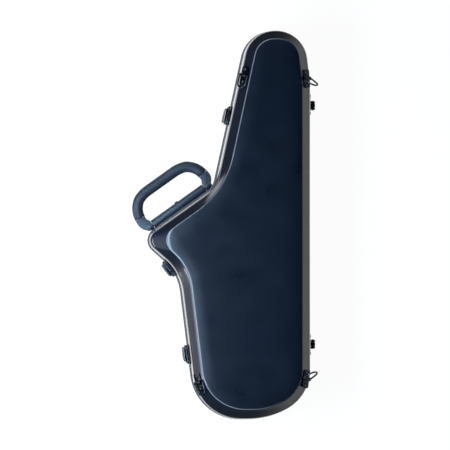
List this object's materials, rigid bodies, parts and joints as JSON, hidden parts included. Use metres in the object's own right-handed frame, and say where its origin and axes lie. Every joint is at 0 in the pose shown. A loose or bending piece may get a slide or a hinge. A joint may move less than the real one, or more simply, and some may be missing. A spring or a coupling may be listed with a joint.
{
  "type": "alto saxophone case",
  "caption": "Shaped hard case for an alto saxophone with a hinged lid, draw latches, swinging strap rings and a side handle.",
  "frame": {"origin": "centre of the shell's outline on the flat back that the case lies on", "axes": "+X towards the hinges, +Y towards the neck end, +Z out of the lid's panel"},
  "size_m": [0.3016, 0.64, 0.183],
  "materials": {
    "moulded_shell": "satin black moulded",
    "edge_profile": "black extruded edge",
    "seal": "black sponge rubber",
    "plush": "short black plush over foam",
    "handle_plastic": "blue-grey moulded",
    "grip": "blue-grey soft rubber",
    "polished_hardware": "black plated and polished",
    "dark_hardware": "black plated"
  },
  "bodies": {
    "base": {"base_shell": "moulded_shell", "base_rim": "edge_profile", "base_cradle": "plush", "handle_mount": "handle_plastic", "handle_pin_left": "dark_hardware", "handle_pin_right": "dark_hardware", "hinge_neck_base_leaf": "dark_hardware", "hinge_neck_pin": "dark_hardware", "hinge_bow_base_leaf": "dark_hardware", "hinge_bow_pin": "dark_hardware", "latch_1_base_plate": "dark_hardware", "latch_1_lever_pin": "dark_hardware", "latch_2_base_plate": "dark_hardware", "latch_2_lever_pin": "dark_hardware", "latch_3_base_plate": "dark_hardware", "latch_3_lever_pin": "dark_hardware"},
    "lid": {"lid_shell": "moulded_shell", "lid_rim": "edge_profile", "lid_gasket": "seal", "lid_padding": "plush", "hinge_neck_lid_leaf": "dark_hardware", "hinge_bow_lid_leaf": "dark_hardware", "latch_1_keeper": "polished_hardware", "latch_2_keeper": "polished_hardware", "latch_3_keeper": "polished_hardware", "ring_neck_left_bracket": "polished_hardware", "ring_neck_left_screw_a": "dark_hardware", "ring_neck_left_screw_b": "dark_hardware", "ring_neck_right_bracket": "polished_hardware", "ring_neck_right_screw_a": "dark_hardware", "ring_neck_right_screw_b": "dark_hardware", "ring_bow_left_bracket": "polished_hardware", "ring_bow_left_screw_a": "dark_hardware", "ring_bow_left_screw_b": "dark_hardware", "ring_bow_right_bracket": "polished_hardware", "ring_bow_right_screw_a": "dark_hardware", "ring_bow_right_screw_b": "dark_hardware"},
    "lever_1": {"latch_1_lever": "polished_hardware"},
    "bail_1": {"latch_1_bail": "dark_hardware"},
    "lever_2": {"latch_2_lever": "polished_hardware"},
    "bail_2": {"latch_2_bail": "dark_hardware"},
    "lever_3": {"latch_3_lever": "polished_hardware"},
    "bail_3": {"latch_3_bail": "dark_hardware"},
    "d_ring_neck_left": {"ring_neck_left": "dark_hardware"},
    "d_ring_neck_right": {"ring_neck_right": "dark_hardware"},
    "d_ring_bow_left": {"ring_bow_left": "dark_hardware"},
    "d_ring_bow_right": {"ring_bow_right": "dark_hardware"},
    "handle": {"handle_frame": "handle_plastic", "handle_grip": "grip"}
  },
  "joints": [
    {"name": "lid_open", "type": "hinge", "parent": "base", "child": "lid", "pos_m": [0.1389, 0, 0.095], "axis": [0, 1, 0], "range_deg": [0, 105]},
    {"name": "latch_1_lever_lift", "type": "hinge", "parent": "base", "child": "lever_1", "pos_m": [-0.0038, 0.18054, 0.0845], "axis": [0.2129, 0.9771, 0], "range_deg": [0, 95]},
    {"name": "latch_1_bail_swing", "type": "hinge", "parent": "lever_1", "child": "bail_1", "pos_m": [-0.00341, 0.18046, 0.0785], "axis": [0.2129, 0.9771, 0], "range_deg": [-85, 0]},
    {"name": "latch_2_lever_lift", "type": "hinge", "parent": "base", "child": "lever_2", "pos_m": [-0.10013, -0.07346, 0.0845], "axis": [-0.6079, 0.794, 0], "range_deg": [0, 95]},
    {"name": "latch_2_bail_swing", "type": "hinge", "parent": "lever_2", "child": "bail_2", "pos_m": [-0.09982, -0.07322, 0.0785], "axis": [-0.6079, 0.794, 0], "range_deg": [-85, 0]},
    {"name": "latch_3_lever_lift", "type": "hinge", "parent": "base", "child": "lever_3", "pos_m": [-0.07056, -0.2132, 0.0845], "axis": [-0.1215, 0.9926, 0], "range_deg": [0, 95]},
    {"name": "latch_3_bail_swing", "type": "hinge", "parent": "lever_3", "child": "bail_3", "pos_m": [-0.07016, -0.21315, 0.0785], "axis": [-0.1215, 0.9926, 0], "range_deg": [-85, 0]},
    {"name": "ring_neck_left_swing", "type": "hinge", "parent": "lid", "child": "d_ring_neck_left", "pos_m": [0.02152, 0.24296, 0.16693], "axis": [-0.6416, 0.1398, -0.7542], "range_deg": [0, 176]},
    {"name": "ring_neck_right_swing", "type": "hinge", "parent": "lid", "child": "d_ring_neck_right", "pos_m": [0.12522, 0.23759, 0.16692], "axis": [-0.651, -0.0517, 0.7573], "range_deg": [-50, 126]},
    {"name": "ring_bow_left_swing", "type": "hinge", "parent": "lid", "child": "d_ring_bow_left", "pos_m": [-0.05178, -0.25656, 0.16694], "axis": [-0.6321, -0.1976, -0.7493], "range_deg": [0, 176]},
    {"name": "ring_bow_right_swing", "type": "hinge", "parent": "lid", "child": "d_ring_bow_right", "pos_m": [0.12406, -0.25094, 0.16692], "axis": [-0.6462, 0.0879, 0.7581], "range_deg": [-128, 48]},
    {"name": "handle_swing", "type": "hinge", "parent": "base", "child": "handle", "pos_m": [-0.08145, 0.0312, 0.067], "axis": [0.814, 0.5809, 0], "range_deg": [-66, 60]}
  ],
  "couplings": [
    {"joint": "latch_1_bail_swing", "follows": "latch_1_lever_lift", "ratio": -0.89},
    {"joint": "latch_2_bail_swing", "follows": "latch_2_lever_lift", "ratio": -0.89},
    {"joint": "latch_3_bail_swing", "follows": "latch_3_lever_lift", "ratio": -0.89}
  ]
}
